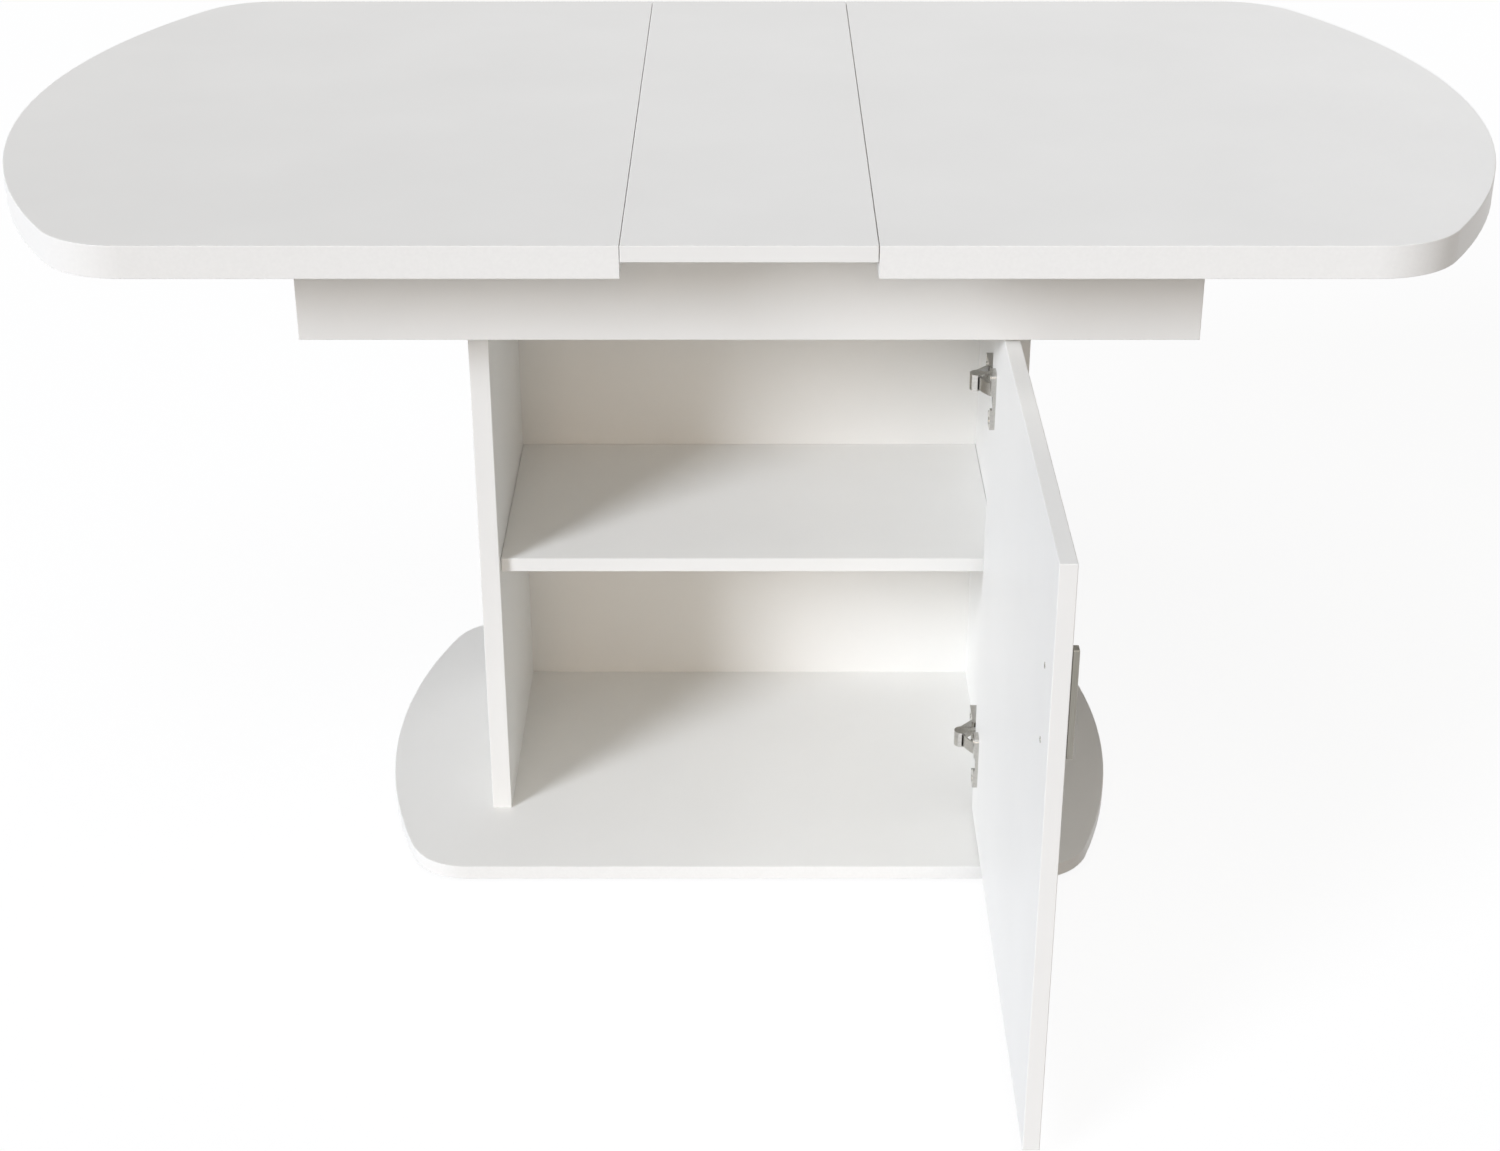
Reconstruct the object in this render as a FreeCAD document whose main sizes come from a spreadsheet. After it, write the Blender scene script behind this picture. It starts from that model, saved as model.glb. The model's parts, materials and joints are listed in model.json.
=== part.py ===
import FreeCAD, Part
import math
import os
import re
import Sketcher

# Extending kitchen table on a storage cabinet.
# Millimetres, +Z up, origin on the floor under the middle of the base plate.
# The cabinet's front faces -Y, and its door is modelled standing open at a right angle.
# A left half top is the right one turned half a turn about the vertical axis.

doc = FreeCAD.newDocument("kitchen_table")
sheet = doc.addObject("Spreadsheet::Sheet", "Sizes")

# Driving dimensions
DRIVING = [
    ("table_height", 750),
    ("board", 15),
    ("side_board", 20),
    ("edging", 1),
    ("edge_round", 0.8),
    # sliding top
    ("top_length", 1440),
    ("top_depth", 820),
    ("leaf_width", 222),
    ("seam_gap", 0.6),
    ("end_radius", 695),
    ("corner_radius", 90),
    ("rim_width", 60),
    # apron box
    ("apron_length", 838),
    ("apron_depth", 518),
    ("apron_height", 132),
    ("block_size", 40),
    ("block_height", 60),
    # runners of the sliding top and the tongues that guide them
    ("runner_width", 28),
    ("runner_height", 45),
    ("runner_side_gap", 1),
    ("runner_inset", 19),
    ("runner_end_gap", 30),
    ("tongue_depth", 10),
    ("tongue_height", 12),
    ("tongue_low", 23),
    ("tongue_play", 0.5),
    ("slide_travel", 30),
    ("stop_spare", 1),
    ("stop_length", 25),
    ("stop_depth", 12),
    ("cleat_width", 20),
    ("cleat_height", 30),
    ("cleat_spacing", 140),
    ("cleat_end_gap", 3),
    # base plate and its glides
    ("base_length", 790),
    ("base_depth", 530),
    ("base_end_radius", 620),
    ("base_corner_radius", 64),
    ("glide_height", 5),
    ("glide_radius", 12),
    ("glide_taper", 2),
    ("glide_span_long", 560),
    ("glide_span_deep", 380),
    # cabinet
    ("cabinet_width", 550),
    ("cabinet_front", 153),
    ("cabinet_depth", 309),
    ("shelf_rise", 295),
    ("shelf_setback", 11),
    ("shelf_gap", 0.5),
    ("pin_radius", 2.5),
    ("pin_sunk", 10),
    ("pin_out", 9),
    ("pin_inset", 45),
    ("hole_play", 0.1),
    # wood screws, shared by the base, deck, runners and cleats
    ("screw_radius", 2.2),
    ("screw_head_radius", 4.4),
    ("screw_head_height", 3),
    ("screw_bite", 30),
    ("board_bite", 9),
    ("screw_margin", 45),
    # door
    ("door_gap_low", 3),
    ("door_gap_high", 4),
    ("door_reveal", 1),
    ("door_stand_off", 3),
    ("door_open_in", 16.6),
    ("door_open_out", 5.6),
    # concealed cup hinges
    ("hinge_from_top", 85),
    ("hinge_from_foot", 81),
    ("arm_pivot_in", 30),
    ("arm_pivot_back", 8),
    ("cup_pivot_depth", 6),
    ("cup_radius", 17.4),
    ("cup_depth", 11.4),
    ("cup_from_edge", 22.5),
    ("cup_wall", 1.1),
    ("cup_floor", 0.8),
    ("cup_lip", 0.4),
    ("cup_play", 0.1),
    ("flange_height", 61),
    ("flange_width", 20),
    ("flange_thick", 5),
    ("flange_from_edge", 33),
    ("flange_round", 6),
    ("recess_lip", 3.5),
    ("recess_run", 4.9),
    ("flange_screw_pitch", 45),
    ("link_width", 13),
    ("link_thick", 2),
    ("link_bow", 3.1),
    ("link_eye", 3.6),
    ("pivot_radius", 2),
    ("pivot_play", 0.05),
    ("pivot_sunk", 0.8),
    ("cheek", 1.6),
    ("cheek_play", 0.25),
    ("arm_nose", 7.5),
    ("arm_reach", 60),
    ("arm_rise", 16.7),
    ("arm_neck_back", 30),
    ("arm_heel_back", 15),
    ("arm_rim", 2.5),
    ("plate_thick", 3),
    ("plate_from_front", 28),
    ("plate_length", 32),
    ("plate_wing_width", 18),
    ("plate_wing_height", 52),
    ("plate_screw_pitch", 32),
    ("plate_screw_back", 37),
    ("hinge_screw_radius", 2),
    ("hinge_screw_head", 3.4),
    ("hinge_screw_rise", 0.8),
    ("hinge_screw_bite", 11),
    ("arm_screw_back", 51),
    ("arm_screw_fore", 38),
    ("arm_screw_radius", 3.2),
    ("arm_screw_proud", 0.6),
    # handle
    ("handle_length", 102),
    ("handle_pitch", 70),
    ("handle_width", 10),
    ("handle_thick", 6),
    ("handle_out", 12),
    ("handle_post", 8),
    ("handle_from_edge", 45.5),
    ("handle_from_top", 150),
    ("handle_round", 0.8),
    ("handle_screw_radius", 2),
    ("handle_screw_head", 2.9),
    ("handle_screw_rise", 0.8),
    ("handle_screw_bite", 7),
]

# Levels and places that follow from the driving dimensions
DERIVED = [
    ("base_top", "glide_height + board"),
    ("rail_top", "table_height - board"),
    ("rim_low", "rail_top - board"),
    ("deck_low", "rail_top - apron_height"),
    ("deck_top", "deck_low + board"),
    ("seam", "leaf_width / 2"),
    ("top_end_centre", "top_length / 2 - end_radius"),
    ("base_end_centre", "base_length / 2 - base_end_radius"),
    ("rail_in", "apron_depth / 2 - board"),
    ("end_rail_in", "apron_length / 2 - board"),
    ("runner_low", "rail_top - runner_height"),
    ("runner_start", "seam + runner_inset"),
    ("runner_face", "rail_in - runner_side_gap"),
    ("rim_in_radius", "end_radius - edging - rim_width"),
    ("rim_reach", "top_end_centre + sqrt(rim_in_radius^2 - runner_face^2)"),
    ("runner_length", "rim_reach - runner_end_gap - runner_start"),
    ("panel_in", "cabinet_width / 2 - side_board"),
    ("back_in", "cabinet_depth - cabinet_front - board"),
    ("panel_height", "deck_low - base_top"),
    ("shelf_low", "base_top + shelf_rise - board"),
    ("shelf_depth", "cabinet_front + back_in - shelf_setback - shelf_gap"),
    ("door_low", "base_top + door_gap_low"),
    ("door_height", "deck_low - door_gap_high - door_low"),
    ("door_width", "cabinet_width - 2 * door_reveal"),
    ("door_inner", "panel_in - door_open_in"),
    ("door_edge", "-cabinet_front - door_open_out"),
    ("upper_hinge", "door_low + door_height - hinge_from_top"),
    ("lower_hinge", "door_low + hinge_from_foot"),
    # the cup pivot lies where the closed and the open door give the link one length
    ("closed_run", "side_board - door_reveal + arm_pivot_in"),
    ("closed_drop", "door_stand_off + cup_pivot_depth + arm_pivot_back"),
    ("open_run", "cup_pivot_depth + arm_pivot_in - door_open_in"),
    ("open_rise", "arm_pivot_back + door_open_out"),
    ("run_terms", "closed_run^2 + closed_drop^2 - open_run^2 - open_rise^2"),
    ("cup_pivot_from_edge", "run_terms / (2 * (closed_run + open_rise))"),
    ("open_drop", "open_rise + cup_pivot_from_edge"),
    ("link_length", "sqrt(open_run^2 + open_drop^2)"),
    ("bow_radius", "(link_length^2 / 4 + link_bow^2) / (2 * link_bow)"),
    ("arm_pivot_x", "panel_in - arm_pivot_in"),
    ("arm_pivot_y", "arm_pivot_back - cabinet_front"),
    ("cup_pivot_x", "door_inner + cup_pivot_depth"),
    ("cup_pivot_y", "door_edge - cup_pivot_from_edge"),
    ("cup_y", "door_edge - cup_from_edge"),
    ("flange_y", "door_edge - flange_from_edge"),
    ("cup_pin_offset", "cup_from_edge - cup_pivot_from_edge + pivot_radius"),
    ("cup_pin_half", "sqrt((cup_radius - cup_wall)^2 - cup_pin_offset^2) + pivot_sunk"),
    ("arm_width", "link_width + 2 * cheek + 2 * cheek_play"),
    ("handle_y", "door_edge - door_width + handle_from_edge"),
    ("handle_z", "door_low + door_height - handle_from_top"),
    ("door_outer", "door_inner + board"),
]

ALIASES = [name for name, _ in DRIVING] + [name for name, _ in DERIVED]


def in_sheet(formula):
    """Point every size named in a formula at its cell."""
    def cell(match):
        word = match.group(0)
        return "Sizes." + word if word in ALIASES else word
    return re.sub(r"[a-z_]+", cell, formula)


for row, (name, value) in enumerate(DRIVING, start=1):
    sheet.set(f"A{row}", name)
    sheet.set(f"B{row}", str(value))
    sheet.setAlias(f"B{row}", name)
for row, (name, formula) in enumerate(DERIVED, start=1):
    sheet.set(f"D{row}", name)
    sheet.set(f"E{row}", "=" + formula)
    sheet.setAlias(f"E{row}", name)
doc.recompute()

AXES = {"x": FreeCAD.Rotation(FreeCAD.Vector(0, 1, 0), 90),
        "y": FreeCAD.Rotation(FreeCAD.Vector(1, 0, 0), -90),
        "z": FreeCAD.Rotation()}
HALF_TURN = FreeCAD.Rotation(FreeCAD.Vector(0, 0, 1), 180)
nodes = []


def size(name):
    """The value of one cell, as a plain number."""
    return float(sheet.get(name))


def sheet_value(formula):
    """The number that a formula over the sheet gives now."""
    return float(sheet.evalExpression(in_sheet(formula)))


def bind(thing, prop, formula):
    thing.setExpression(prop, in_sheet(formula))


def place(thing, at, turned=False):
    """Put an object at a point given by three formulas, or at that point turned half a turn."""
    if turned:
        thing.Placement = FreeCAD.Placement(FreeCAD.Vector(), HALF_TURN * thing.Placement.Rotation)
    sign = "-" if turned else ""
    bind(thing, "Placement.Base.x", f"{sign}({at[0]})")
    bind(thing, "Placement.Base.y", f"{sign}({at[1]})")
    bind(thing, "Placement.Base.z", at[2])
    return thing


def block(extent, at, turned=False):
    """A rectangular piece from its lowest corner and its three lengths."""
    piece = doc.addObject("Part::Box", "block")
    for prop, formula in zip(("Length", "Width", "Height"), extent):
        bind(piece, prop, formula)
    return place(piece, at, turned)


def rod(radius, length, at, axis="z", turned=False):
    """A round bar that starts at a point and runs along one axis."""
    piece = doc.addObject("Part::Cylinder", "rod")
    bind(piece, "Radius", radius)
    bind(piece, "Height", length)
    piece.Placement = FreeCAD.Placement(FreeCAD.Vector(), AXES[axis])
    return place(piece, at, turned)


def taper(low_radius, high_radius, length, at, axis="z", turned=False):
    """A round bar whose radius changes evenly along it."""
    piece = doc.addObject("Part::Cone", "taper")
    bind(piece, "Radius1", low_radius)
    bind(piece, "Radius2", high_radius)
    bind(piece, "Height", length)
    piece.Placement = FreeCAD.Placement(FreeCAD.Vector(), AXES[axis])
    return place(piece, at, turned)


def together(pieces):
    group = doc.addObject("Part::Compound", "group")
    group.Links = pieces
    return group


def joined(pieces):
    fused = doc.addObject("Part::MultiFuse", "joined")
    fused.Shapes = pieces
    return fused


def cut(base, tools):
    """Take tools that stand apart from each other out of a piece."""
    result = doc.addObject("Part::Cut", "cut")
    result.Base = base
    result.Tool = tools[0] if len(tools) == 1 else together(tools)
    return result


def eased(base, radius_name, chosen):
    """Round the edges of a piece for which the test on an edge's box holds."""
    doc.recompute()
    radius = size(radius_name)
    box = base.Shape.BoundBox
    edges = [number for number, edge in enumerate(base.Shape.Edges, start=1)
             if chosen(edge.BoundBox, box)]
    fillet = doc.addObject("Part::Fillet", "eased")
    fillet.Base = base
    fillet.Edges = [(number, radius, radius) for number in edges]
    return fillet


def near(first, second):
    return abs(first - second) < 1e-4


def every_edge(edge, box):
    return True


def front_edges(edge, box):
    return near(edge.YMax, box.YMin)


def back_edges(edge, box):
    return near(edge.YMin, box.YMax)


def node(label, thing):
    thing.Label = label
    nodes.append(thing)
    return thing


def origin_plane(body, role):
    return next(plane for plane in body.Origin.OriginFeatures if plane.Role == role)


def new_body():
    return doc.addObject("PartDesign::Body", "piece")


def flat_sketch(body, level="0"):
    """A sketch on the body's own horizontal plane, raised to a level."""
    sketch = body.newObject("Sketcher::SketchObject", "outline")
    sketch.AttachmentSupport = (origin_plane(body, "XY_Plane"), [""])
    sketch.MapMode = "FlatFace"
    bind(sketch, "AttachmentOffset.Base.z", level)
    return sketch


def pad(body, sketch, length, midplane=False):
    feature = body.newObject("PartDesign::Pad", "pad")
    feature.Profile = sketch
    bind(feature, "Length", length)
    feature.Midplane = midplane
    return feature


def pocket(body, sketch, length, upwards=False, midplane=False):
    """Cut a profile into the body, and check that the cut took something out."""
    doc.recompute()
    before = body.Shape.Volume
    feature = body.newObject("PartDesign::Pocket", "pocket")
    feature.Profile = sketch
    bind(feature, "Length", length)
    feature.Reversed = upwards
    feature.Midplane = midplane
    doc.recompute()
    if body.Shape.Volume > before - 1e-6:
        raise ValueError("a pocket cut nothing")
    return feature


def dimension(sketch, name, formula, kind, *where):
    """Add one named dimension that follows the sheet."""
    index = sketch.addConstraint(Sketcher.Constraint(kind, *where))
    sketch.renameConstraint(index, name)
    bind(sketch, "Constraints." + name, formula)


def rounded_half(sketch, family, start_at, inset):
    """Half of a plate with a bowed end: straight edges, two corner arcs and one wide end arc."""
    prefix = "base_" if family == "base" else ""
    depth = sheet_value(f"{family}_depth / 2 - ({inset})")
    end = sheet_value(f"{prefix}end_radius - ({inset})")
    corner = sheet_value(f"{prefix}corner_radius - ({inset})")
    centre = size(family + "_end_centre")
    start = sheet_value(start_at)
    turn_y = depth - corner
    turn_x = centre + math.sqrt((end - corner) ** 2 - turn_y ** 2)
    angle = math.atan2(turn_y, turn_x - centre)
    quarter = math.pi / 2
    point = FreeCAD.Vector
    up = point(0, 0, 1)

    def arc(middle, radius, first, last):
        return Part.ArcOfCircle(Part.Circle(middle, up, radius), first, last)

    sketch.addGeometry([
        Part.LineSegment(point(start, -depth), point(turn_x, -depth)),
        arc(point(turn_x, -turn_y), corner, -quarter, -angle),
        arc(point(centre, 0), end, -angle, angle),
        arc(point(turn_x, turn_y), corner, angle, quarter),
        Part.LineSegment(point(turn_x, depth), point(start, depth)),
        Part.LineSegment(point(start, depth), point(start, -depth)),
    ])
    for first, second in ((0, 1), (1, 2), (2, 3), (3, 4)):
        sketch.addConstraint(Sketcher.Constraint("Tangent", first, 2, second, 1))
    sketch.addConstraint(Sketcher.Constraint("Coincident", 4, 2, 5, 1))
    sketch.addConstraint(Sketcher.Constraint("Coincident", 5, 2, 0, 1))
    sketch.addConstraint(Sketcher.Constraint("Horizontal", 0))
    sketch.addConstraint(Sketcher.Constraint("Horizontal", 4))
    sketch.addConstraint(Sketcher.Constraint("Symmetric", 0, 1, 4, 2, -1))
    sketch.addConstraint(Sketcher.Constraint("Equal", 1, 3))
    sketch.addConstraint(Sketcher.Constraint("PointOnObject", 2, 3, -1))
    dimension(sketch, "corner", f"{prefix}corner_radius - ({inset})", "Radius", 1, corner)
    dimension(sketch, "bow", f"{prefix}end_radius - ({inset})", "Radius", 2, end)
    dimension(sketch, "depth", f"{family}_depth - 2 * ({inset})", "DistanceY", 0, 1, 4, 2, 2 * depth)
    dimension(sketch, "centre", f"{family}_end_centre", "DistanceX", -1, 1, 2, 3, centre)
    dimension(sketch, "start", start_at, "DistanceX", -1, 1, 0, 1, start)


def outer_rim_edges(shape, family):
    """Names of the edges along the outermost outline, at the top and the bottom of a band."""
    prefix = "base_" if family == "base" else ""
    radii = (size(prefix + "corner_radius"), size(prefix + "end_radius"))
    depth = size(family + "_depth") / 2
    box = shape.BoundBox
    names = []
    for number, edge in enumerate(shape.Edges, start=1):
        span = edge.BoundBox
        if span.ZLength > 1e-4 or not (near(span.ZMin, box.ZMin) or near(span.ZMin, box.ZMax)):
            continue
        if hasattr(edge.Curve, "Radius"):
            outer = any(near(edge.Curve.Radius, radius) for radius in radii)
        else:
            outer = near(abs(span.YMin), depth) and span.YLength < 1e-4
        if outer:
            names.append(f"Edge{number}")
    return names


def ease_rim(body, base, family):
    doc.recompute()
    fillet = body.newObject("PartDesign::Fillet", "fillet")
    fillet.Base = (base, outer_rim_edges(base.Shape, family))
    bind(fillet, "Radius", "edge_round")
    body.Tip = fillet


def polygon(sketch, corners):
    """A closed outline whose corners are given by formulas, each tied to the sheet."""
    points = [FreeCAD.Vector(sheet_value(x), sheet_value(y), 0) for x, y in corners]
    count = len(points)
    for first in range(count):
        sketch.addGeometry(Part.LineSegment(points[first], points[(first + 1) % count]))
    for first in range(count):
        sketch.addConstraint(Sketcher.Constraint("Coincident", first, 2, (first + 1) % count, 1))
    for number, (x, y) in enumerate(corners):
        dimension(sketch, f"across{number}", x, "DistanceX", -1, 1, number, 1, points[number].x)
        dimension(sketch, f"along{number}", y, "DistanceY", -1, 1, number, 1, points[number].y)


def rectangle(sketch, left, right, front, back):
    polygon(sketch, [(left, front), (right, front), (right, back), (left, back)])


def circles(sketch, spots, radius):
    """Round holes at points given by formulas, each tied to the sheet."""
    for number, (x, y) in enumerate(spots):
        place_x = sheet_value(x)
        place_y = sheet_value(y)
        middle = FreeCAD.Vector(place_x, place_y, 0)
        geo = sketch.addGeometry(Part.Circle(middle, FreeCAD.Vector(0, 0, 1), sheet_value(radius)))
        dimension(sketch, f"radius{number}", radius, "Radius", geo, sheet_value(radius))
        dimension(sketch, f"across{number}", x, "DistanceX", -1, 1, geo, 3, place_x)
        dimension(sketch, f"along{number}", y, "DistanceY", -1, 1, geo, 3, place_y)


def wood_screw(at, length, turned=False):
    """A countersunk screw that stands head down at a point and runs up from it."""
    x, y, z = at
    head = taper("screw_head_radius", "screw_radius", "screw_head_height", at, "z", turned)
    shank = rod("screw_radius", f"{length} - screw_head_height", (x, y, f"{z} + screw_head_height"),
                "z", turned)
    return joined([head, shank])


def screw_hole(at, length, turned=False):
    """Room for a countersunk screw, with a little play all round."""
    x, y, z = at
    head = taper("screw_head_radius + hole_play", "screw_radius + hole_play", "screw_head_height",
                 at, "z", turned)
    shank = rod("screw_radius + hole_play", f"{length} - screw_head_height + hole_play",
                (x, y, f"{z} + screw_head_height"), "z", turned)
    return joined([head, shank])


# Base plate: a board with bowed ends, banded all round, on plastic glides
panel_mid = "panel_in + side_board / 2"
panel_back = "cabinet_depth - cabinet_front"
base_screw_spots = [(f"{sign}({panel_mid})", place_y, "glide_height")
                    for sign in ("", "-")
                    for place_y in ("screw_margin - cabinet_front",
                                    "cabinet_depth / 2 - cabinet_front",
                                    f"{panel_back} - screw_margin")]
base_screw_length = "board + screw_bite"

plate = new_body()
base_sketch = flat_sketch(plate)
rounded_half(base_sketch, "base", "0", "edging")
base_pad = pad(plate, base_sketch, "board")
base_mirror = plate.newObject("PartDesign::Mirrored", "mirrored")
base_mirror.Originals = [base_pad]
base_mirror.MirrorPlane = (origin_plane(plate, "YZ_Plane"), [""])
plate.Tip = base_mirror
bind(plate, "Placement.Base.z", "glide_height")
node("base_plate", cut(plate, [screw_hole(spot, base_screw_length) for spot in base_screw_spots]))

band = new_body()
band_outer = flat_sketch(band)
rounded_half(band_outer, "base", "0", "0")
band_pad = pad(band, band_outer, "board")
band_inner = flat_sketch(band)
rounded_half(band_inner, "base", "0", "edging")
band_pocket = pocket(band, band_inner, "board", upwards=True)
band_mirror = band.newObject("PartDesign::Mirrored", "mirrored")
band_mirror.Originals = [band_pad, band_pocket]
band_mirror.MirrorPlane = (origin_plane(band, "YZ_Plane"), [""])
band.Tip = band_mirror
ease_rim(band, band_mirror, "base")
bind(band, "Placement.Base.z", "glide_height")
node("base_edging", band)

glide_spots = [("0", "0")] + [(f"{a}glide_span_long / 2", f"{b}glide_span_deep / 2")
                              for a in ("", "-") for b in ("", "-")]
node("base_glides", together([taper("glide_radius - glide_taper", "glide_radius", "glide_height",
                                    (x, y, "0")) for x, y in glide_spots]))
node("base_screws", together([wood_screw(spot, base_screw_length) for spot in base_screw_spots]))

# Cabinet: two thick side panels, a back panel and one shelf on pins
pin_height = "shelf_low - pin_radius"
pin_rows = ("pin_inset - cabinet_front", "back_in - pin_inset")
deck_screw_spots = [(x, y, "deck_top") for x, y, _ in base_screw_spots]


def deck_screw(at):
    """A countersunk screw driven down, head flush with the deck."""
    x, y, z = at
    head = taper("screw_radius", "screw_head_radius", "screw_head_height",
                 (x, y, f"{z} - screw_head_height"))
    shank = rod("screw_radius", "board + screw_bite - screw_head_height",
                (x, y, f"{z} - board - screw_bite"))
    return joined([head, shank])


def deck_screw_hole(at):
    x, y, z = at
    head = taper("screw_radius + hole_play", "screw_head_radius + hole_play", "screw_head_height",
                 (x, y, f"{z} - screw_head_height"))
    shank = rod("screw_radius + hole_play", "board + screw_bite - screw_head_height + hole_play",
                (x, y, f"{z} - board - screw_bite - hole_play"))
    return joined([head, shank])


def pin_hole(sign, y):
    start = "panel_in" if sign == "" else "-panel_in - pin_sunk - hole_play"
    return rod("pin_radius + hole_play", "pin_sunk + hole_play", (start, y, pin_height), "x")


def shelf_pin(sign, y):
    start = "panel_in - pin_out" if sign == "" else "-panel_in - pin_sunk"
    return rod("pin_radius", "pin_sunk + pin_out", (start, y, pin_height), "x")


plate_screw_places = [(hinge, f"{hinge} {side} plate_screw_pitch / 2")
                      for hinge in ("upper_hinge", "lower_hinge") for side in ("+", "-")]
plate_screw_y = "plate_screw_back - cabinet_front"

for label, sign in (("left_side_panel", "-"), ("right_side_panel", "")):
    corner_x = "panel_in" if sign == "" else "-panel_in - side_board"
    slab = eased(block(("side_board", "cabinet_depth", "panel_height"),
                       (corner_x, "-cabinet_front", "base_top")), "edge_round",
                 lambda edge, box: front_edges(edge, box) or back_edges(edge, box))
    tools = [pin_hole(sign, y) for y in pin_rows]
    tools += [screw_hole(spot, base_screw_length) for spot in base_screw_spots
              if spot[0].startswith("-") == (sign == "-")]
    tools += [deck_screw_hole(spot) for spot in deck_screw_spots
              if spot[0].startswith("-") == (sign == "-")]
    if sign == "":
        tools += [rod("hinge_screw_radius + hole_play", "hinge_screw_bite + hole_play",
                      ("panel_in", plate_screw_y, z), "x") for _, z in plate_screw_places]
    node(label, cut(slab, tools))

node("back_panel", block(("2 * panel_in", "board", "panel_height"), ("-panel_in", "back_in", "base_top")))
node("shelf", eased(block(("2 * panel_in - 2 * shelf_gap", "shelf_depth", "board"),
                          ("shelf_gap - panel_in", "shelf_setback - cabinet_front", "shelf_low")),
                    "edge_round", front_edges))
node("shelf_pins", together([shelf_pin(sign, y) for sign in ("", "-") for y in pin_rows]))

# Apron: a deck on top of the cabinet with four rails round it, stiffened by corner blocks
node("deck_panel", cut(block(("2 * end_rail_in", "2 * rail_in", "board"),
                             ("-end_rail_in", "-rail_in", "deck_low")),
                       [deck_screw_hole(spot) for spot in deck_screw_spots]))
node("deck_screws", together([deck_screw(spot) for spot in deck_screw_spots]))
node("front_rail", eased(block(("apron_length", "board", "apron_height"),
                               ("-apron_length / 2", "-apron_depth / 2", "deck_low")),
                         "edge_round", front_edges))
node("back_rail", eased(block(("apron_length", "board", "apron_height"),
                              ("-apron_length / 2", "rail_in", "deck_low")),
                        "edge_round", back_edges))
notch_width = "runner_width + 2 * runner_side_gap"
for label, turned in (("left_end_rail", True), ("right_end_rail", False)):
    rail = block(("board", "2 * rail_in", "apron_height"), ("end_rail_in", "-rail_in", "deck_low"), turned)
    notches = [block(("board", notch_width, "runner_height + runner_side_gap"),
                     ("end_rail_in", y, "runner_low - runner_side_gap"), turned)
               for y in ("-rail_in", f"rail_in - ({notch_width})")]
    node(label, cut(rail, notches))


def corner_block(x_sign, y_sign):
    """A three-cornered block that fills one corner of the apron."""
    body = new_body()
    sketch = flat_sketch(body)
    polygon(sketch, [("0", "0"), ("block_size", "0"), ("0", "block_size")])
    pad(body, sketch, "block_height")
    quarter_turns = {(-1, -1): 0, (1, -1): 90, (1, 1): 180, (-1, 1): 270}[(x_sign, y_sign)]
    body.Placement = FreeCAD.Placement(FreeCAD.Vector(),
                                       FreeCAD.Rotation(FreeCAD.Vector(0, 0, 1), quarter_turns))
    return place(body, (f"{x_sign} * end_rail_in", f"{y_sign} * rail_in", "deck_top"))


node("corner_blocks", together([corner_block(x, y) for x in (-1, 1) for y in (-1, 1)]))

tongue_z = "runner_low + tongue_low - tongue_height"
for label, y in (("front_guide_strip", "-rail_in"), ("back_guide_strip", "rail_in - tongue_depth")):
    node(label, block(("2 * end_rail_in", "tongue_depth", "tongue_height"),
                      ("-end_rail_in", y, tongue_z)))

# Half tops: a board, a doubling rim under its edge, one edging round both, and two grooved runners
runner_mid = "runner_face - runner_width / 2"
runner_screw_x = ("runner_start + screw_margin", "runner_start + runner_length / 2",
                  "runner_start + runner_length - screw_margin")
runner_screw_spots = [(x, f"{sign}({runner_mid})") for sign in ("", "-") for x in runner_screw_x]
runner_screw_length = "runner_height + board_bite"

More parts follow.
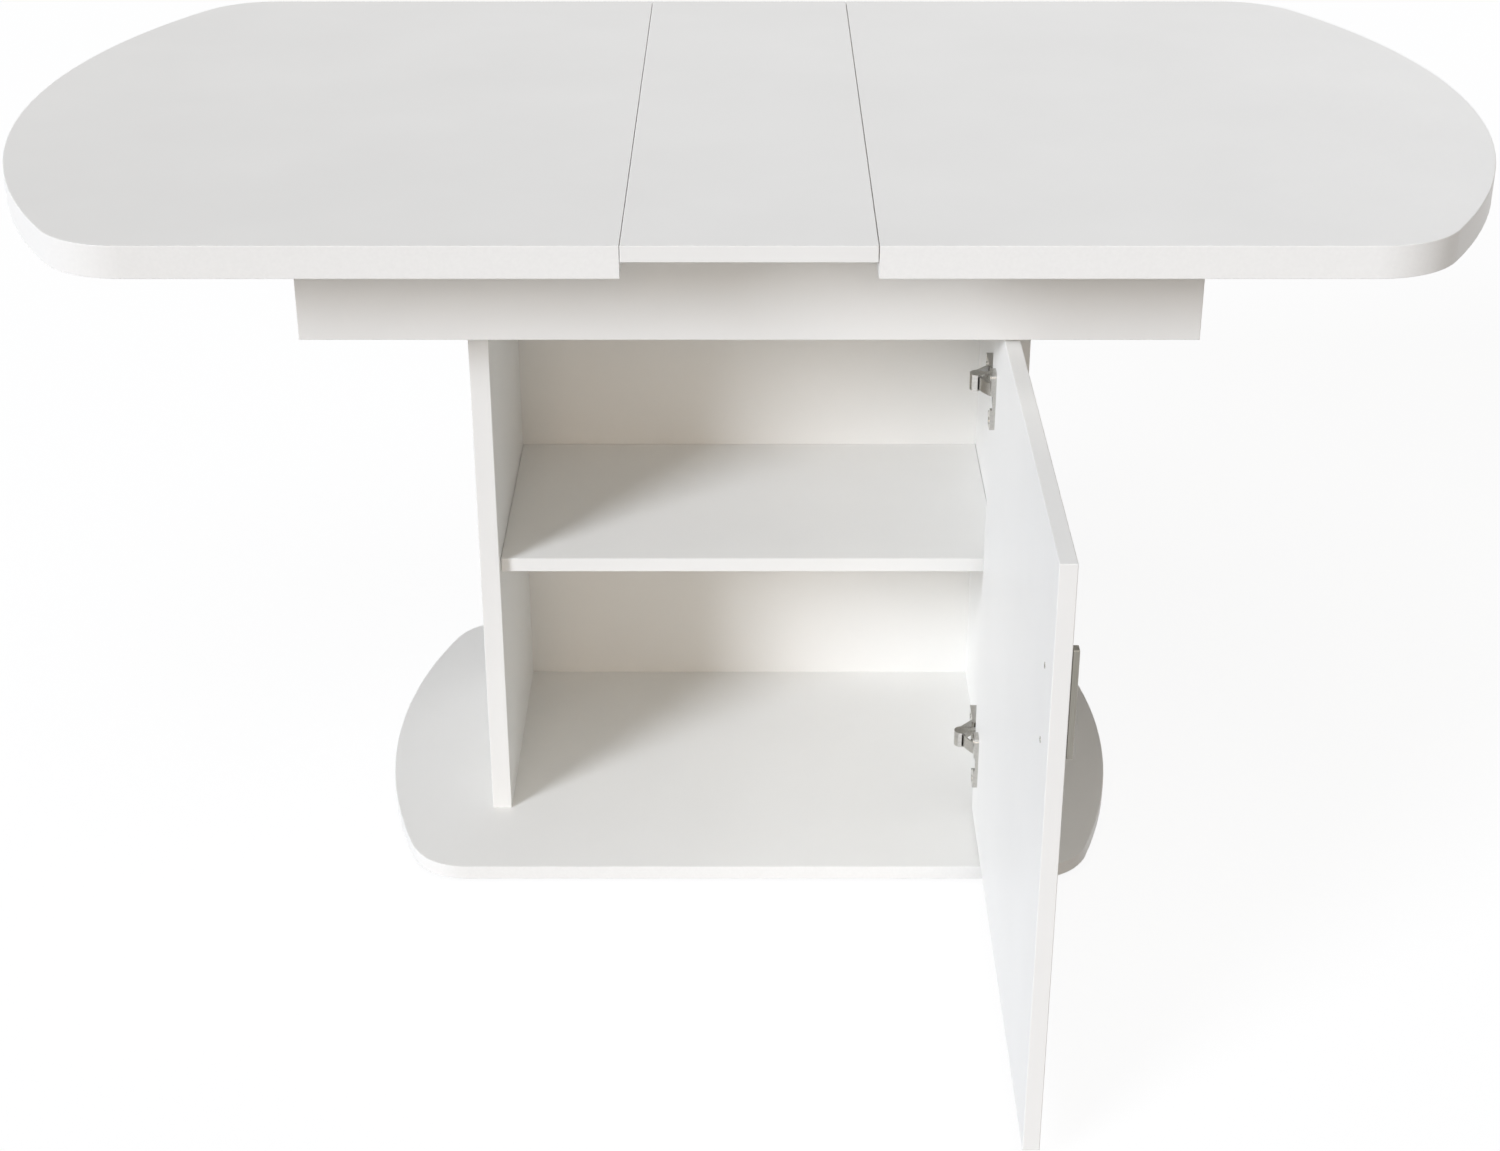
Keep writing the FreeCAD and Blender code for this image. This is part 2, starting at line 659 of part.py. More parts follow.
for side, turned in (("left", True), ("right", False)):
    field = new_body()
    field_sketch = flat_sketch(field)
    rounded_half(field_sketch, "top", "seam", "edging")
    pad(field, field_sketch, "board")
    hole_sketch = flat_sketch(field)
    circles(hole_sketch, runner_screw_spots, "screw_radius + hole_play")
    pocket(field, hole_sketch, "board_bite + hole_play", upwards=True)
    place(field, ("0", "0", "rail_top"), turned)
    node(f"{side}_top_board", field)

    rim = new_body()
    rim_outer = flat_sketch(rim)
    rounded_half(rim_outer, "top", "seam", "edging")
    pad(rim, rim_outer, "board")
    rim_inner = flat_sketch(rim)
    rounded_half(rim_inner, "top", "seam", "edging + rim_width")
    pocket(rim, rim_inner, "board", upwards=True)
    place(rim, ("0", "0", "rim_low"), turned)
    node(f"{side}_top_rim", rim)

    edge = new_body()
    edge_outer = flat_sketch(edge)
    rounded_half(edge_outer, "top", "seam", "0")
    pad(edge, edge_outer, "2 * board")
    edge_inner = flat_sketch(edge)
    rounded_half(edge_inner, "top", "seam", "edging")
    edge_pocket = pocket(edge, edge_inner, "2 * board", upwards=True)
    ease_rim(edge, edge_pocket, "top")
    place(edge, ("0", "0", "rim_low"), turned)
    node(f"{side}_top_edging", edge)

    groove_depth = "tongue_depth - runner_side_gap + tongue_play"
    groove_height = "tongue_height + 2 * tongue_play"
    stop_x = "end_rail_in - slide_travel - stop_spare - stop_length"
    for name, outer, inner, groove, stop in (
            ("first", "-runner_face", "-1", "-runner_face", "runner_width - runner_face"),
            ("second", "runner_face - runner_width", "1", f"runner_face - ({groove_depth})",
             "runner_face - runner_width - stop_depth")):
        front = (name == "first") != turned
        runner = block(("runner_length", "runner_width", "runner_height"),
                       ("runner_start", outer, "runner_low"), turned)
        slot = block(("runner_length", groove_depth, groove_height),
                     ("runner_start", groove, f"{tongue_z} - tongue_play"), turned)
        holes = [screw_hole((x, f"{inner} * ({runner_mid})", "runner_low"), runner_screw_length, turned)
                 for x in runner_screw_x]
        node(f"{side}_{'front' if front else 'back'}_runner", cut(cut(runner, [slot]), holes))
    stops = [block(("stop_length", "stop_depth", "runner_height / 2"),
                   (stop_x, y, "rail_top - runner_height / 2"), turned)
             for y in ("runner_width - runner_face", "runner_face - runner_width - stop_depth")]
    node(f"{side}_stop_blocks", together(stops))
    node(f"{side}_runner_screws", together([wood_screw((x, y, "runner_low"), runner_screw_length, turned)
                                            for x, y in runner_screw_spots]))

# Leaf: a single board that drops in between the halves, kept flat by two cleats
cleat_spots = [(x, y, "rail_top - cleat_height")
               for x in ("-cleat_spacing / 2", "cleat_spacing / 2")
               for y in ("-rail_in + tongue_depth + screw_margin", "0",
                         "rail_in - tongue_depth - screw_margin")]
cleat_screw_length = "cleat_height + board_bite"
leaf_slab = eased(block(("leaf_width - 2 * seam_gap", "top_depth", "board"),
                        ("seam_gap - seam", "-top_depth / 2", "rail_top")), "edge_round", every_edge)
node("leaf_board", cut(leaf_slab, [screw_hole(spot, cleat_screw_length) for spot in cleat_spots]))
cleat_end = "rail_in - tongue_depth - cleat_end_gap"
for label, x in (("leaf_left_cleat", "-cleat_spacing / 2"), ("leaf_right_cleat", "cleat_spacing / 2")):
    batten = block(("cleat_width", f"2 * ({cleat_end})", "cleat_height"),
                   (f"{x} - cleat_width / 2", f"-({cleat_end})", "rail_top - cleat_height"))
    node(label, cut(batten, [screw_hole(spot, cleat_screw_length) for spot in cleat_spots if spot[0] == x]))
node("leaf_cleat_screws", together([wood_screw(spot, cleat_screw_length) for spot in cleat_spots]))

# Door, standing open: a board bored for two hinge cups and for the handle's screws
handle_screw_z = [f"handle_z {side} handle_pitch / 2" for side in ("+", "-")]
hinge_levels = {"upper": "upper_hinge", "lower": "lower_hinge"}
cup_screw_spots = [(f"{level} {side} flange_screw_pitch / 2") for level in hinge_levels.values()
                   for side in ("+", "-")]
door_slab = eased(block(("board", "door_width", "door_height"),
                        ("door_inner", "door_edge - door_width", "door_low")), "edge_round", every_edge)
door_tools = [rod("cup_radius + cup_play", "cup_depth + cup_play", ("door_inner", "cup_y", level), "x")
              for level in hinge_levels.values()]
door_tools += [rod("hinge_screw_radius + hole_play", "hinge_screw_bite + hole_play",
                   ("door_inner", "flange_y", z), "x") for z in cup_screw_spots]
door_tools += [rod("handle_screw_radius + hole_play", "board", ("door_inner", "handle_y", z), "x")
               for z in handle_screw_z]
node("door_panel", cut(door_slab, door_tools))

# Handle: a flat bar on two posts, held by screws from inside the door
bar = eased(block(("handle_thick", "handle_width", "handle_length"),
                  ("door_outer + handle_out - handle_thick", "handle_y - handle_width / 2",
                   "handle_z - handle_length / 2")), "handle_round", every_edge)
posts = [block(("handle_out - handle_thick / 2", "handle_post", "handle_post"),
               ("door_outer", "handle_y - handle_post / 2", f"{z} - handle_post / 2"))
         for z in handle_screw_z]
handle_holes = [rod("handle_screw_radius + hole_play", "handle_screw_bite + hole_play",
                    ("door_outer", "handle_y", z), "x") for z in handle_screw_z]
node("door_handle", cut(joined([bar] + posts), handle_holes))
node("handle_screws", together([
    joined([rod("handle_screw_head", "handle_screw_rise", ("door_inner - handle_screw_rise", "handle_y", z), "x"),
            rod("handle_screw_radius", "board + handle_screw_bite", ("door_inner", "handle_y", z), "x")])
    for z in handle_screw_z]))


def hinge_screw(x, y, z, towards):
    """A small pan-head screw that runs into a board along X."""
    head_x = f"{x} - hinge_screw_rise" if towards > 0 else x
    return joined([rod("hinge_screw_head", "hinge_screw_rise", (head_x, y, z), "x"),
                   rod("hinge_screw_radius", "hinge_screw_bite", (x, y, z), "x")])


arm_screw_places = ("arm_screw_back - cabinet_front", "arm_screw_fore - cabinet_front")

# Concealed hinges: plate and arm on the panel, a bowed link, and a cup with a flange in the door
for name, level in hinge_levels.items():
    cup_bore = rod("cup_radius - cup_wall", "cup_lip + flange_thick + cup_depth - cup_floor",
                   ("door_inner - cup_lip - flange_thick", "cup_y", level), "x")
    shell = rod("cup_radius", "cup_lip + cup_depth", ("door_inner - cup_lip", "cup_y", level), "x")
    flange = eased(block(("flange_thick", "flange_width", "flange_height"),
                         ("door_inner - flange_thick", "flange_y - flange_width / 2",
                          f"{level} - flange_height / 2")), "flange_round",
                   lambda edge_box, box: near(edge_box.XLength, box.XLength))
    pin_room = rod("pivot_radius + pivot_play", "2 * cup_pin_half",
                   ("cup_pivot_x", "cup_pivot_y", f"{level} - cup_pin_half"))
    screw_room = [rod("hinge_screw_radius + hole_play", "flange_thick",
                      ("door_inner - flange_thick", "flange_y", f"{level} {side} flange_screw_pitch / 2"),
                      "x") for side in ("+", "-")]
    recess = new_body()
    recess_side = flat_sketch(recess)
    far_edge = "flange_y - flange_width / 2"
    polygon(recess_side, [("door_inner - flange_thick", far_edge), ("door_inner - recess_lip", far_edge),
                          ("door_inner", f"{far_edge} + recess_run"), ("door_inner", "cup_y + cup_radius"),
                          ("door_inner - flange_thick", "cup_y + cup_radius")])
    pad(recess, recess_side, "link_width + 2 * cheek_play + 2 * cup_wall", midplane=True)
    place(recess, ("0", "0", level))
    hollow_cup = cut(cut(joined([shell, flange]), [cup_bore]), [recess])
    node(f"{name}_hinge_cup", cut(hollow_cup, [pin_room] + screw_room))

    bow_mid_x = "(arm_pivot_x + cup_pivot_x) / 2 + (bow_radius - link_bow) * open_drop / link_length"
    bow_mid_y = "(arm_pivot_y + cup_pivot_y) / 2 + (bow_radius - link_bow) * open_run / link_length"
    link_low = f"{level} - link_width / 2"
    strap_out = rod("bow_radius + link_thick / 2", "link_width", (bow_mid_x, bow_mid_y, link_low))
    half_angle = "asin(link_length / 2 / bow_radius)"
    bind(strap_out, "Angle", f"2 * {half_angle}")
    bind(strap_out, "Placement.Rotation.Angle", f"180 deg + atan(open_run / open_drop) - {half_angle}")
    strap_in = rod("bow_radius - link_thick / 2", "link_width", (bow_mid_x, bow_mid_y, link_low))
    eyes = [rod("link_eye", "link_width", (x, y, link_low))
            for x, y in (("arm_pivot_x", "arm_pivot_y"), ("cup_pivot_x", "cup_pivot_y"))]
    eye_holes = [rod("pivot_radius + pivot_play", "link_width", (x, y, link_low))
                 for x, y in (("arm_pivot_x", "arm_pivot_y"), ("cup_pivot_x", "cup_pivot_y"))]
    node(f"{name}_hinge_link", cut(joined([cut(strap_out, [strap_in])] + eyes), eye_holes))

    wing = block(("plate_thick", "plate_wing_width", "plate_wing_height"),
                 ("panel_in - plate_thick", f"{plate_screw_y} - plate_wing_width / 2",
                  f"{level} - plate_wing_height / 2"))
    spine = block(("plate_thick", "plate_length", "arm_width"),
                  ("panel_in - plate_thick", "plate_from_front - cabinet_front", f"{level} - arm_width / 2"))
    wing_holes = [rod("hinge_screw_radius + hole_play", "plate_thick",
                      ("panel_in - plate_thick", plate_screw_y, z), "x")
                  for owner, z in plate_screw_places if owner == level]
    node(f"{name}_hinge_plate", cut(joined([wing, spine]), wing_holes))

    arm = new_body()
    arm_outline = flat_sketch(arm)
    polygon(arm_outline, [("-plate_thick", "arm_reach"), ("-arm_rise", "arm_reach"),
                          ("-arm_rise", "arm_neck_back"), ("-arm_pivot_in - arm_nose", "arm_pivot_back"),
                          ("-arm_pivot_in + arm_nose", "arm_pivot_back"), ("-plate_thick", "arm_heel_back")])
    pad(arm, arm_outline, "arm_width", midplane=True)
    nose = flat_sketch(arm)
    circles(nose, [("-arm_pivot_in", "arm_pivot_back")], "arm_nose")
    pad(arm, nose, "arm_width", midplane=True)
    window = flat_sketch(arm)
    polygon(window, [("-arm_pivot_in + arm_rim / 2", "arm_pivot_back + link_eye + arm_rim"),
                     ("-arm_rise - arm_rim / 3", "arm_neck_back - 2 * arm_rim"),
                     ("-plate_thick - arm_rim", "arm_neck_back - 2 * arm_rim"),
                     ("-plate_thick - arm_rim", "arm_heel_back + arm_rim"),
                     ("-arm_pivot_in + arm_nose", "arm_pivot_back + arm_rim")])
    pocket(arm, window, "arm_width", midplane=True)
    knuckle_room = flat_sketch(arm)
    circles(knuckle_room, [("-arm_pivot_in", "arm_pivot_back")], "arm_nose - cheek")
    pocket(arm, knuckle_room, "link_width + 2 * cheek_play", midplane=True)
    slot = flat_sketch(arm)
    rectangle(slot, "-arm_pivot_in", "-arm_rise + cheek",
              "arm_pivot_back - arm_nose", "arm_pivot_back + link_eye + cheek_play")
    pocket(arm, slot, "link_width + 2 * cheek_play", midplane=True)
    channel = flat_sketch(arm)
    rectangle(channel, "-arm_rise + cheek", "-plate_thick", "arm_pivot_back - arm_nose", "arm_reach - cheek")
    pocket(arm, channel, "link_width + 2 * cheek_play", midplane=True)
    pin_bore = flat_sketch(arm)
    circles(pin_bore, [("-arm_pivot_in", "arm_pivot_back")], "pivot_radius + pivot_play")
    pocket(arm, pin_bore, "arm_width", midplane=True)
    place(arm, ("panel_in", "-cabinet_front", level))
    node(f"{name}_hinge_arm", cut(arm, [rod("arm_screw_radius + hole_play", "cheek",
                                            ("panel_in - arm_rise", y, level), "x")
                                        for y in arm_screw_places]))

node("arm_pivot_pins", together([rod("pivot_radius", "arm_width",
                                     ("arm_pivot_x", "arm_pivot_y", f"{level} - arm_width / 2"))
                                 for level in hinge_levels.values()]))
node("cup_pivot_pins", together([
    rod("pivot_radius", "2 * cup_pin_half", ("cup_pivot_x", "cup_pivot_y", f"{level} - cup_pin_half"))
    for level in hinge_levels.values()]))
node("hinge_plate_screws", together([hinge_screw("panel_in - plate_thick", plate_screw_y, z, 1)
                                     for _, z in plate_screw_places]))
node("hinge_cup_screws", together([hinge_screw("door_inner - flange_thick", "flange_y", z, 1)
                                   for z in cup_screw_spots]))
node("hinge_arm_screws", together([rod("arm_screw_radius", "arm_rise - plate_thick + arm_screw_proud",
                                       ("panel_in - arm_rise - arm_screw_proud", y, level), "x")
                                   for level in hinge_levels.values() for y in arm_screw_places]))

# Nothing is written unless every object and every piece is sound
doc.recompute()
for thing in doc.Objects:
    if "Invalid" in thing.State or "Error" in thing.State:
        raise ValueError(f"{thing.Name} ({thing.Label}) failed to compute")
for piece in nodes:
    if piece.Shape.isNull() or not piece.Shape.isValid():
        raise ValueError(f"{piece.Label} has no sound shape")

os.makedirs("parts", exist_ok=True)
for piece in nodes:
    piece.Shape.exportStep(f"parts/{piece.Label}.step")

link_open = math.degrees(math.atan2(size("open_drop"), size("open_run")))
link_closed = math.degrees(math.atan2(size("closed_drop"), size("closed_run") - size("cup_pivot_from_edge")))
print(len(nodes), "pieces")
print("link pivot", size("arm_pivot_x"), size("arm_pivot_y"))
print("cup pivot", size("cup_pivot_x"), size("cup_pivot_y"))
print("link turns", link_open - link_closed, "while the door turns 90")
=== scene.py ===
# %% [markdown]
# # An extending kitchen table on a storage cabinet
# The table is already a set of solid pieces in metres, with +Z up and its origin on the floor.
# This lesson gives those pieces their finishes, swaps the plain screws for ones with a driven
# cross in their heads, and lights the table as a furniture catalogue would.
# Loading the pieces first means that everything added later can be placed by measuring them.

# %% Load the table
import json
import math

import bmesh
import bpy
import numpy as np
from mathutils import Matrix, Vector


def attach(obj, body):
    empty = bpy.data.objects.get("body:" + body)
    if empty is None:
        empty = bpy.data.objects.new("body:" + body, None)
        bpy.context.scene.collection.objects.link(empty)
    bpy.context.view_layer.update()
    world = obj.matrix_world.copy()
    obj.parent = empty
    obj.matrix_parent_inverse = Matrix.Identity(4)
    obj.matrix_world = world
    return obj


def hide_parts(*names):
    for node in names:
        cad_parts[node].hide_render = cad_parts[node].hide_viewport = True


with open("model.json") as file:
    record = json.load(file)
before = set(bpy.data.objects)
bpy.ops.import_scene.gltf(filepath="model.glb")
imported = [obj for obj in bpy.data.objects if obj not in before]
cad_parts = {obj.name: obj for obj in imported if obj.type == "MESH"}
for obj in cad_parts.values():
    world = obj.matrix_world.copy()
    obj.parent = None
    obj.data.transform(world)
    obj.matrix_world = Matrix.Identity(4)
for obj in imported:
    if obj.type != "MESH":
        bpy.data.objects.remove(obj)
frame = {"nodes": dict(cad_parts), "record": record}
nodes = frame["nodes"]
slot_of = {row["node"]: row["material_slot"] for row in frame["record"]["subparts"]}
body_of = {node: body for body, members in frame["record"]["behaviour"]["bodies"].items()
           for node in members}
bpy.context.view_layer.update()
MM = 0.001

# %% [markdown]
# Colours are picked as they look on a screen, so they are written as sRGB hex values.
# A renderer adds up light, which needs linear values, so one function turns the one into the other.

# %% Colours


def linear(hex_colour):
    """sRGB hex to linear RGBA: below 0.04045 a straight line, above it a power of 2.4."""
    parts = np.array([int(hex_colour[place:place + 2], 16) for place in (1, 3, 5)]) / 255
    light = np.where(parts <= 0.04045, parts / 12.92, ((parts + 0.055) / 1.055) ** 2.4)
    return (*light.tolist(), 1.0)


print("screen grey #BCBCBC holds this share of white's light:", round(linear("#BCBCBC")[0], 3))

# %% [markdown]
# A finish is a small net of shader nodes. One function adds a node with its settings, its fixed
# numbers and its links, which keeps each finish below down to the few lines that say what it is.
# Patterns lie on object coordinates, which are metres here, so a pattern's scale can be worked out
# from its real size and stays the same on every piece.

# %% Shader nodes


def add(tree, kind, values=None, links=None, **settings):
    """Add one node: attributes from settings, socket numbers from values, inputs from links."""
    made = tree.nodes.new(kind)
    for name, value in settings.items():
        setattr(made, name, value)
    for socket, value in (values or {}).items():
        made.inputs[socket].default_value = value
    for socket, (source, output) in (links or {}).items():
        tree.links.new(source.outputs[output], made.inputs[socket])
    return made


def per_metre(size_mm):
    """Scale of a pattern on object coordinates, in repeats a metre: one over one repeat."""
    return 1.0 / (size_mm * MM)


def new_finish(name):
    """An empty material with its node tree and a source of object coordinates."""
    material = bpy.data.materials.new(name)
    material.use_nodes = True
    material.node_tree.nodes.clear()
    place = add(material.node_tree, "ShaderNodeTexCoord")
    return material, material.node_tree, place


print("a pattern of 2 mm repeats", round(per_metre(2.0)), "times a metre")

# %% [markdown]
# No real surface has one even tone and gloss. In every finish here a pattern does two jobs: it
# mixes two close colours, and it moves the roughness up and down a little. Two helpers do that, so
# a finish only has to choose its pattern, its colours and its range of roughness.

# %% Tone and gloss
# A Mix node has a set of sockets for each kind of data, all with the same names, so the ones for
# colours are told apart by number.
MIX_FACTOR, MIX_FIRST, MIX_SECOND, MIX_COLOUR = 0, 6, 7, 2


def two_tone(tree, pattern, first, second, low=0.3, high=0.7):
    """Tone of a pattern: first colour up to its low level, second from its high, mixed between."""
    share = add(tree, "ShaderNodeMapRange", {"From Min": low, "From Max": high},
                {"Value": (pattern, "Fac")})
    return add(tree, "ShaderNodeMix", {MIX_FIRST: linear(first), MIX_SECOND: linear(second)},
               {MIX_FACTOR: (share, "Result")}, data_type="RGBA")


def skin(tree, colour, pattern, roughness, values, links=None):
    """Surface of a finish: roughness goes straight from its low to its high with the pattern."""
    low, high = roughness
    gloss = add(tree, "ShaderNodeMapRange", {"To Min": low, "To Max": high},
                {"Value": (pattern, "Fac")})
    shader = add(tree, "ShaderNodeBsdfPrincipled", values,
                 {"Base Color": (colour, MIX_COLOUR), "Roughness": (gloss, "Result"),
                  **(links or {})})
    add(tree, "ShaderNodeOutputMaterial", links={"Surface": (shader, "BSDF")})


finishes = {}
print("finishes to make:", sorted(set(slot_of.values())))

# %% [markdown]
# Most of the table is particle board faced with white melamine paper. Pressing it against a
# slightly grained steel plate leaves a satin skin with a faint pearl texture, so highlights are
# soft and the white is never quite even. Real pearl grain is about half a millimetre across, too
# fine to show at this distance, so it is drawn a few times coarser and kept very shallow. The same
# grain sends light back the way it came, which the diffuse roughness stands for, and breaks up
# mirror images, so the specular level is half the usual one.

# %% White melamine
PEARL_GRAIN_MM = 2.4
PEARL_DEPTH_MM = 0.08
PEARL_STRENGTH = 0.12
SHEET_CLOUD_MM = 160.0
MELAMINE_ROUGHNESS = (0.36, 0.46)


def white_melamine():
    """Satin melamine paper: a cloudy white, a soft gloss and a pearl grain too shallow to shade."""
    material, tree, place = new_finish("white melamine")
    cloud = add(tree, "ShaderNodeTexNoise", {"Scale": per_metre(SHEET_CLOUD_MM), "Detail": 4.0},
                {"Vector": (place, "Object")})
    pearl = add(tree, "ShaderNodeTexNoise", {"Scale": per_metre(PEARL_GRAIN_MM), "Detail": 2.0},
                {"Vector": (place, "Object")})
    grain = add(tree, "ShaderNodeBump",
                {"Strength": PEARL_STRENGTH, "Distance": PEARL_DEPTH_MM * MM},
                {"Height": (pearl, "Fac")})
    skin(tree, two_tone(tree, cloud, "#F4F3EF", "#F7F6F2"), pearl, MELAMINE_ROUGHNESS,
         {"IOR": 1.5, "Specular IOR Level": 0.25, "Diffuse Roughness": 0.4},
         {"Normal": (grain, "Normal")})
    return material


finishes["white_board"] = white_melamine()
print("made", finishes["white_board"].name)

# %% [markdown]
# The edges of the top and the base plate carry a strip of white ABS, a millimetre thick, glued on
# and trimmed with rounded cutters. It is smoother and glossier than the board, which is why the
# edges catch a thin bright line. The cutter leaves very fine marks. They are drawn as a small
# mottle, a few times coarser than life, or they wouldn't show.

# %% White edge banding
CUTTER_MARK_MM = 3.0
EDGING_ROUGHNESS = (0.28, 0.38)


def white_edging():
    """Extruded ABS: smoother than the board, with faint cutter marks in its tone and gloss."""
    material, tree, place = new_finish("white ABS edge banding")
    marks = add(tree, "ShaderNodeTexNoise", {"Scale": per_metre(CUTTER_MARK_MM), "Detail": 3.0},
                {"Vector": (place, "Object")})
    skin(tree, two_tone(tree, marks, "#F6F5F1", "#F9F8F4"), marks, EDGING_ROUGHNESS,
         {"IOR": 1.52, "Specular IOR Level": 0.35, "Diffuse Roughness": 0.3})
    return material


finishes["white_edging"] = white_edging()
print("made", finishes["white_edging"].name)

# %% [markdown]
# The hinges are pressed steel with a nickel plating, the screws are zinc plated, and the handle is
# satin nickel. All three are metals, so they take their look from what they reflect.
# Only the tint, the roughness and the fine scratches set them apart, and one function with those
# choices makes all of them. The plated ones are marked evenly all over, and the handle is brushed
# along its length. The marks are drawn coarser than life, so that they show.

# %% Plated metals
GLOSS_CHANGE = 0.06


def plated_metal(name, dark, light, roughness, scratch_mm):
    """A metal whose noise is stretched along the scratches: tint and gloss both follow it."""
    material, tree, place = new_finish(name)
    stretch = add(tree, "ShaderNodeMapping", {"Scale": [per_metre(size) for size in scratch_mm]},
                  {"Vector": (place, "Object")})
    scratch = add(tree, "ShaderNodeTexNoise", {"Scale": 1.0, "Detail": 3.0},
                  {"Vector": (stretch, "Vector")})
    skin(tree, two_tone(tree, scratch, dark, light), scratch,
         (roughness - GLOSS_CHANGE, roughness + GLOSS_CHANGE), {"Metallic": 1.0})
    return material


finishes["nickel"] = plated_metal("nickel plated steel", "#C9C7C3", "#DAD8D4",
                                  roughness=0.2, scratch_mm=(2.0, 2.0, 2.0))
finishes["zinc_screws"] = plated_metal("zinc plated steel", "#B9BCBF", "#CDD0D2",
                                       roughness=0.32, scratch_mm=(1.5, 1.5, 1.5))
finishes["satin_handle"] = plated_metal("satin nickel", "#939088", "#A29F97",
                                        roughness=0.36, scratch_mm=(0.8, 0.8, 30.0))
print("made", [finishes[slot].name for slot in ("nickel", "zinc_screws", "satin_handle")])

# %% [markdown]
# Under the top, the runners, cleats and blocks are planed beech. Beech is pinkish tan with a quiet
# grain along its length and short darker flecks. The grain runs along X on the runners, so a
# noise stretched along X gives the rings, and a finer stretched one gives the flecks.

# %% Planed beech
GRAIN_MM = (120.0, 5.0, 5.0)
FLECK_MM = (9.0, 0.9, 0.9)
FLECK_LEVEL = 0.42
FLECK_STRENGTH = 0.6
BEECH_ROUGHNESS = (0.42, 0.58)


def planed_beech():
    """Sealed beech: long bands of tan, crossed by short flecks that also break up the gloss."""
    material, tree, place = new_finish("planed beech")
    along, short = [add(tree, "ShaderNodeMapping", {"Scale": [per_metre(side) for side in size]},
                        {"Vector": (place, "Object")}) for size in (GRAIN_MM, FLECK_MM)]
    bands = add(tree, "ShaderNodeTexNoise", {"Scale": 1.0, "Detail": 5.0, "Distortion": 0.6},
                {"Vector": (along, "Vector")})
    flecks = add(tree, "ShaderNodeTexNoise", {"Scale": 1.0, "Detail": 2.0},
                 {"Vector": (short, "Vector")})
    tan = two_tone(tree, bands, "#C79B6D", "#DCB688")
    fleck = two_tone(tree, flecks, "#B08054", "#FFFFFF", high=FLECK_LEVEL)
    colour = add(tree, "ShaderNodeMix", {MIX_FACTOR: FLECK_STRENGTH},
                 {MIX_FIRST: (tan, MIX_COLOUR), MIX_SECOND: (fleck, MIX_COLOUR)},
                 data_type="RGBA", blend_type="MULTIPLY")
    skin(tree, colour, flecks, BEECH_ROUGHNESS, {"IOR": 1.5})
    return material


finishes["beech"] = planed_beech()
print("made", finishes["beech"].name)

# %% [markdown]
# The glides under the base are moulded polyethylene: translucent grey-white, matt, with the
# slight orange peel of the mould. A little subsurface scattering would give the wax-like depth,
# but they are seen only from below, so a matt shader with a mottled tone is enough.

# %% Moulded glides
MOULD_PEEL_MM = 1.5
GLIDE_ROUGHNESS = (0.5, 0.62)


def moulded_glides():
    """Matt polyethylene: a mottled grey-white with a rough, slightly uneven gloss."""
    material, tree, place = new_finish("moulded polyethylene")
    peel = add(tree, "ShaderNodeTexNoise", {"Scale": per_metre(MOULD_PEEL_MM), "Detail": 2.0},
               {"Vector": (place, "Object")})
    skin(tree, two_tone(tree, peel, "#C4C3BF", "#CFCECA"), peel, GLIDE_ROUGHNESS, {"IOR": 1.51})
    return material


finishes["glide_plastic"] = moulded_glides()
print("made", finishes["glide_plastic"].name)

# %% [markdown]
# Each piece of the table names the finish it wants, so handing the finishes out is one short loop.
# The pieces keep their own meshes, which already have the right size and place.

# %% Hand out the finishes
for name, piece in nodes.items():
    piece.data.materials.clear()
    piece.data.materials.append(finishes[slot_of[name]])
print("finished", len(nodes), "pieces with", len(finishes), "finishes")

# %% [markdown]
# The visible hinge and handle screws have plain flat heads in the solid model, and several of them
# make up one piece. To swap them for better ones, each has to be found first. The points of a
# piece are split wherever they leave a gap along an axis, and the box round each group gives one
# screw's place and size.

# %% Find the screws
SCREW_GAP_MM = 4.0


def screws_in(node):
    """Boxes of the separate screws in a piece: its points, split on each axis at wide gaps."""
    points = np.zeros(len(nodes[node].data.vertices) * 3, np.float32)
    nodes[node].data.vertices.foreach_get("co", points)
    groups = [points.reshape(-1, 3)]
    for axis in (2, 1, 0):
        split = []
        for group in groups:
            ordered = group[np.argsort(group[:, axis])]
            breaks = np.flatnonzero(np.diff(ordered[:, axis]) > SCREW_GAP_MM * MM) + 1
            split += np.split(ordered, breaks)
        groups = split
    return [(group.min(0), group.max(0)) for group in groups]


print("screws that hold the handle:", len(screws_in("handle_screws")))

# %% [markdown]
# A real pan head is a low dome with a cross driven into it. Each new screw is one surface of
# revolution on a grid: the first parameter runs from the middle of the head over its rim to the
# tip, the second runs round the axis, and the cross is a dip in the dome. The cross could be cut
# out with a boolean, but a dip keeps the grid whole, and its walls come out a little soft, as
# pressed ones are.

# %% Shape of a screw
ROUND_STEPS = 48
DOME_STEPS = 22
DOME_POWER = 2.6
CROWN_SHARE = 0.45
CROSS_ARM_SHARE = 0.62
CROSS_DEPTH_SHARE = 0.8
CROSS_WIDTH_MM = 0.9
CROSS_BLUR_MM = 0.25


def cross_dip(across, up, arm, depth):
    """Depth of a driven cross at points of the head: two crossed bars with blurred walls."""
    half = CROSS_WIDTH_MM * MM / 2
    blur = CROSS_BLUR_MM * MM

    def bar(distance, reach):
        """1 up to the reach, 0 past it, with a straight slope across the blur."""
        return np.clip((reach + blur / 2 - np.abs(distance)) / blur, 0, 1)

    first = bar(across, half) * bar(up, arm)
    second = bar(across, arm) * bar(up, half)
    return depth * np.maximum(first, second)


